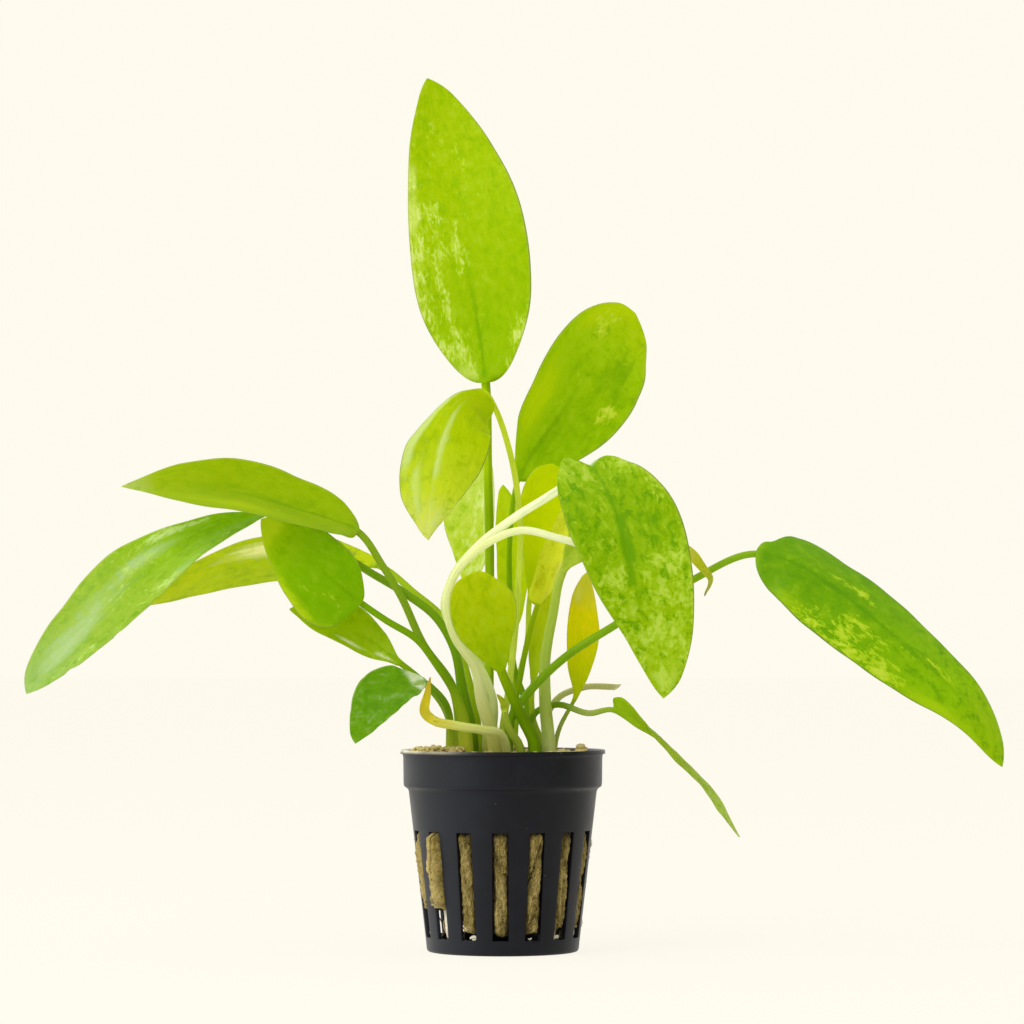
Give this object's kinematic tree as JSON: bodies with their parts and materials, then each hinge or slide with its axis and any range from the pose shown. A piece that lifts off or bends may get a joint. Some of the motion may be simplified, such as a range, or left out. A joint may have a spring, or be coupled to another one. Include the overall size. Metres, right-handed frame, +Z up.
{
  "type": "potted amazon sword plant",
  "caption": "Young amazon sword plant for an aquarium: broad marbled leaves on long stalks, rooted in a rockwool plug in a round black slotted net pot.",
  "frame": {"origin": "the middle of the pot's flat underside, which is what the plant stands on", "axes": "+Z up the pot's axis; X runs across the plant's widest spread; the broad mottled leaf hangs towards -Y, which is the front"},
  "size_m": [0.247, 0.1056, 0.2296],
  "materials": {
    "pot": "moulded, satin",
    "rockwool": "wet mineral fibre, matt",
    "leaf_lime": "living leaf, thin and waxy, lets light through",
    "leaf_mottled": "living leaf marbled dark green and cream, waxy",
    "leaf_deep": "living leaf, deep green, glossy",
    "leaf_pale": "pale living leaf and stalk, waxy",
    "leaf_yellow": "living leaf, yellow-green, lets light through",
    "withered": "withered leaf, dull",
    "cut_stalk": "dull grey-green skin with a pale cut end"
  },
  "bodies": {
    "root": {"net_pot": "pot", "rockwool_plug": "rockwool", "leaf_tall": "leaf_lime", "leaf_upper_right": "leaf_lime", "leaf_mottled_front": "leaf_mottled", "leaf_curled_tip": "leaf_pale", "leaf_far_right": "leaf_deep", "leaf_left_high": "leaf_lime", "leaf_left_long": "leaf_deep", "leaf_left_broad": "leaf_deep", "leaf_left_yellow": "leaf_yellow", "leaf_left_inner": "leaf_lime", "leaf_left_glossy": "leaf_deep", "leaf_round_front": "leaf_lime", "leaf_drooping": "leaf_yellow", "leaf_back_mottled": "leaf_pale", "leaf_back_slim": "leaf_lime", "leaf_back_yellow": "leaf_yellow", "leaf_olive": "leaf_lime", "leaf_young": "leaf_yellow", "leaf_hidden": "leaf_pale", "leaf_gold": "leaf_yellow", "leaf_low_right": "leaf_deep", "withered_strap": "withered", "dry_sheath": "withered", "cut_stalk": "cut_stalk"}
  },
  "joints": []
}
